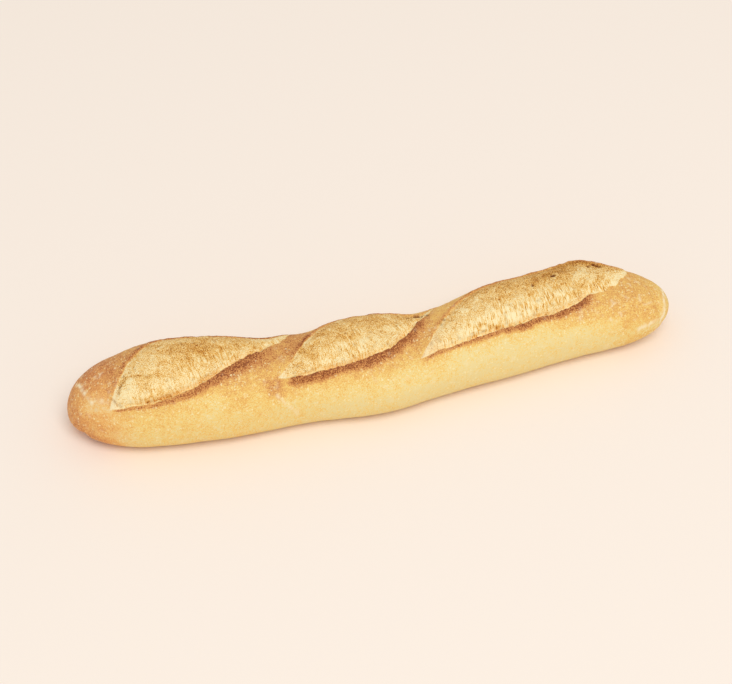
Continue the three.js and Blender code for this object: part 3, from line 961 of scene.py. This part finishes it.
class Tree:
    """Adds nodes to a new material, each fed by sockets or plain values."""

    def __init__(self, name):
        material = bpy.data.materials.new(name)
        material.use_nodes = True
        self.material = material
        self.nodes = material.node_tree.nodes
        self.links = material.node_tree.links

    def feed(self, socket, value):
        if isinstance(value, bpy.types.NodeSocket):
            self.links.new(value, socket)
        else:
            socket.default_value = value

    def add(self, kind, inputs=(), **settings):
        node = self.nodes.new(kind)
        for name, value in settings.items():
            setattr(node, name, value)
        for key, value in dict(inputs).items():
            self.feed(node.inputs[key], value)
        return node

    def attribute(self, name):
        return self.add("ShaderNodeAttribute", attribute_name=name).outputs["Fac"]

    def maths(self, operation, first, second, third=0.0):
        inputs = {0: first, 1: second, 2: third}
        return self.add("ShaderNodeMath", inputs, operation=operation).outputs[0]

    def noise(self, place, size, detail, output="Fac"):
        """Noise from 0 to 1 with lumps of that size in mm."""
        inputs = {"Vector": place, "Scale": 1 / (size * MM), "Detail": detail}
        return self.add("ShaderNodeTexNoise", inputs).outputs[output]

    def warped(self, place, size, reach):
        """The place, pushed about by up to some mm by noise with lumps of that size in mm."""
        push = self.noise(place, size, 1, output="Color")
        inputs = {0: push, 1: (reach * MM,) * 3, 2: place}
        return self.add("ShaderNodeVectorMath", inputs, operation="MULTIPLY_ADD").outputs[0]

    def times(self, first, second, plus=0.0):
        return self.maths("MULTIPLY_ADD", first, second, plus)

    def centred(self, value):
        return self.maths("SUBTRACT", value, 0.5)

    def ramp(self, share, stops):
        node = self.add("ShaderNodeValToRGB", {"Fac": share})
        elements = node.color_ramp.elements
        for _ in range(len(stops) - len(elements)):
            elements.new(0.5)
        for element, (place, colour) in zip(elements, stops):
            element.position = place
            element.color = srgb(*colour)
        return node.outputs["Color"]

    def lerp(self, share, first, second):
        return self.add("ShaderNodeMix", {0: share, 2: first, 3: second}).outputs[0]

    def mix(self, share, first, second, blend="MIX"):
        """Mixes two colours, which a mix node takes at its inputs 6 and 7."""
        inputs = {0: share, 6: first, 7: second}
        return self.add("ShaderNodeMix", inputs, data_type="RGBA", blend_type=blend).outputs[2]

    def surface(self, inputs):
        """Feeds the material's surface, and gives the material."""
        for name, value in inputs.items():
            self.feed(self.nodes["Principled BSDF"].inputs[name], value)
        return self.material


def crust_specks(tree, place):
    """Small light specks, one in some of the cells of a scatter, from 0 to 1."""
    warped = tree.warped(place, SPECK_WARP_SIZE, SPECK_WARP)
    inputs = {"Vector": warped, "Scale": 1 / (SPECK_SPACING * MM)}
    cells = tree.add("ShaderNodeTexVoronoi", inputs).outputs
    spot = tree.add(
        "ShaderNodeMapRange",
        {"Value": cells["Distance"], "From Min": SPECK_EDGES[0], "From Max": SPECK_EDGES[1],
         "To Min": 1.0, "To Max": 0.0},
        interpolation_type="SMOOTHSTEP",
    ).outputs["Result"]
    draw = tree.add("ShaderNodeSeparateColor", {"Color": cells["Color"]}).outputs
    shown = tree.maths("LESS_THAN", draw[0], tree.attribute("specked"))
    strength = tree.times(draw[1], SPECK_VARIETY, 1 - SPECK_VARIETY)
    return tree.times(tree.times(spot, shown), strength)


def crumb_facets(tree, place):
    """A shade from -0.5 to 0.5 for each small ragged patch of the crumb."""
    warped = tree.warped(place, FACET_WARP_SIZE, FACET_WARP)
    cells = {"Vector": warped, "Scale": 1 / (FACET_SIZE * MM)}
    shades = tree.add("ShaderNodeTexVoronoi", cells).outputs["Color"]
    return tree.centred(tree.add("ShaderNodeSeparateColor", {"Color": shades}).outputs[0])


def make_bread_material():
    """Crust and crumb, browned and roughened by the mesh's fields and by fine textures."""
    tree = Tree("crust_and_crumb")
    place = tree.add("ShaderNodeTexCoord").outputs["Object"]
    crumb, baked = tree.attribute("crumb"), tree.attribute("baked")
    cut = {"X": tree.attribute("cut_x"), "Y": tree.attribute("cut_y")}
    cut_place = tree.add("ShaderNodeCombineXYZ", cut).outputs[0]
    stretch = {0: cut_place, 1: (1, STRIPE_STRETCH, 1)}
    stripe_place = tree.add("ShaderNodeVectorMath", stretch, operation="MULTIPLY").outputs[0]

    striped = tree.attribute("striped")
    calm = tree.times(striped, -SPECKLE_CALM, 1.0)
    speckle = tree.centred(tree.noise(place, SPECKLE_SIZE, detail=1))
    speckle = tree.times(speckle, calm)
    stripes = tree.centred(tree.noise(stripe_place, STRIPE_SIZE, detail=2))
    stripes = tree.times(stripes, striped)
    facets = crumb_facets(tree, place)
    crumb_grain = tree.times(stripes, STRIPE_CONTRAST)
    crumb_grain = tree.times(speckle, SPECKLE_CONTRAST, crumb_grain)
    crumb_grain = tree.times(facets, FACET_CONTRAST, crumb_grain)

    skin = tree.centred(tree.noise(place, SKIN_SIZE, detail=1))
    skin_contrast = tree.times(baked, SKIN_CONTRAST_BAKED, SKIN_CONTRAST)
    blotches = tree.centred(tree.noise(place, BLOTCH_SIZE, detail=2))
    specks = crust_specks(tree, place)
    crust_grain = tree.times(skin, skin_contrast, tree.times(blotches, BLOTCH_CONTRAST))
    shade = tree.maths("ADD", baked, tree.lerp(crumb, crust_grain, crumb_grain))

    crust_colour = tree.ramp(shade, CRUST_COLOURS)
    tint = srgb(*ROSY_TINT)
    crust_colour = tree.mix(tree.attribute("rosy"), crust_colour, tint, "MULTIPLY")
    speck_share = tree.times(specks, SPECK_PALENESS)
    crust_colour = tree.mix(speck_share, crust_colour, srgb(*SPECK_COLOUR))
    colour = tree.mix(crumb, crust_colour, tree.ramp(shade, CRUMB_COLOURS))
    colour = tree.mix(tree.attribute("pale"), colour, srgb(*FLOUR))
    # painted shade in the holes, pores and cracks
    colour = tree.mix(tree.attribute("dark"), colour, srgb(*SHADE_BROWN))

    crumb_bumps = tree.times(crumb, tree.maths("ADD", speckle, stripes))
    crust_bumps = tree.times(specks, SPECK_BUMP, tree.times(skin, SKIN_BUMP))
    bumps = tree.maths("ADD", crumb_bumps, crust_bumps)
    bump_inputs = {"Strength": BUMP_STRENGTH, "Distance": BUMP_DEPTH * MM, "Height": bumps}
    bump = tree.add("ShaderNodeBump", bump_inputs).outputs["Normal"]
    roughness = tree.lerp(crumb, CRUST_ROUGHNESS, CRUMB_ROUGHNESS)
    inputs = {"Base Color": colour, "Normal": bump, "Roughness": roughness}
    return tree.surface({**inputs, "Specular IOR Level": SPECULAR})


def make_floor_material():
    colour = srgb(*FLOOR_COLOUR)
    return Tree("floor").surface({"Base Color": colour, "Roughness": 1, "Specular IOR Level": 0})


# ------- camera, light and floor


def direction(azimuth, elevation):
    """The direction from the loaf to a camera or light. Azimuth 0 is the near side."""
    a, e = math.radians(azimuth), math.radians(elevation)
    return Vector((math.sin(a) * math.cos(e), -math.cos(a) * math.cos(e), math.sin(e)))


def add_object(name, data, place, target):
    """A camera or a light at a place, turned to its target."""
    thing = bpy.data.objects.new(name, data)
    bpy.context.scene.collection.objects.link(thing)
    thing.location = place
    thing.rotation_euler = (place - target).to_track_quat("Z", "Y").to_euler()
    return thing


def make_camera():
    back = direction(VIEW_AZIMUTH, VIEW_ELEVATION)
    right = Vector((0, 0, 1)).cross(back).normalized()
    up = back.cross(right)
    target = (Vector(VIEW_TARGET) - VIEW_LEFT * right + VIEW_UP * up) * MM
    data = bpy.data.cameras.new("camera")
    data.sensor_width = SENSOR
    data.lens = SENSOR * PIXELS_PER_MM * VIEW_DISTANCE / PHOTO_WIDTH
    return add_object("camera", data, target + back * VIEW_DISTANCE * MM, target)


def make_light(name, azimuth, elevation, distance, size, power):
    data = bpy.data.lights.new(name, "AREA")
    data.size = size
    data.energy = power
    add_object(name, data, direction(azimuth, elevation) * distance, Vector((0, 0, 0)))


def make_studio():
    scene = bpy.context.scene
    scene.view_settings.view_transform = "Standard"
    world = bpy.data.worlds.new("studio")
    world.use_nodes = True
    background = world.node_tree.nodes["Background"]
    background.inputs["Color"].default_value = (1, 1, 1, 1)
    background.inputs["Strength"].default_value = WORLD_STRENGTH
    scene.world = world
    make_light(**LIGHT)
    bpy.ops.mesh.primitive_plane_add(size=FLOOR_SIZE)
    floor = bpy.context.object
    floor.name = "floor"
    floor.data.materials.append(make_floor_material())


bpy.context.scene.camera = make_camera()
make_studio()
loaf = make_loaf()
loaf.data.materials.append(make_bread_material())
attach(loaf, "root")
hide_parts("loaf")
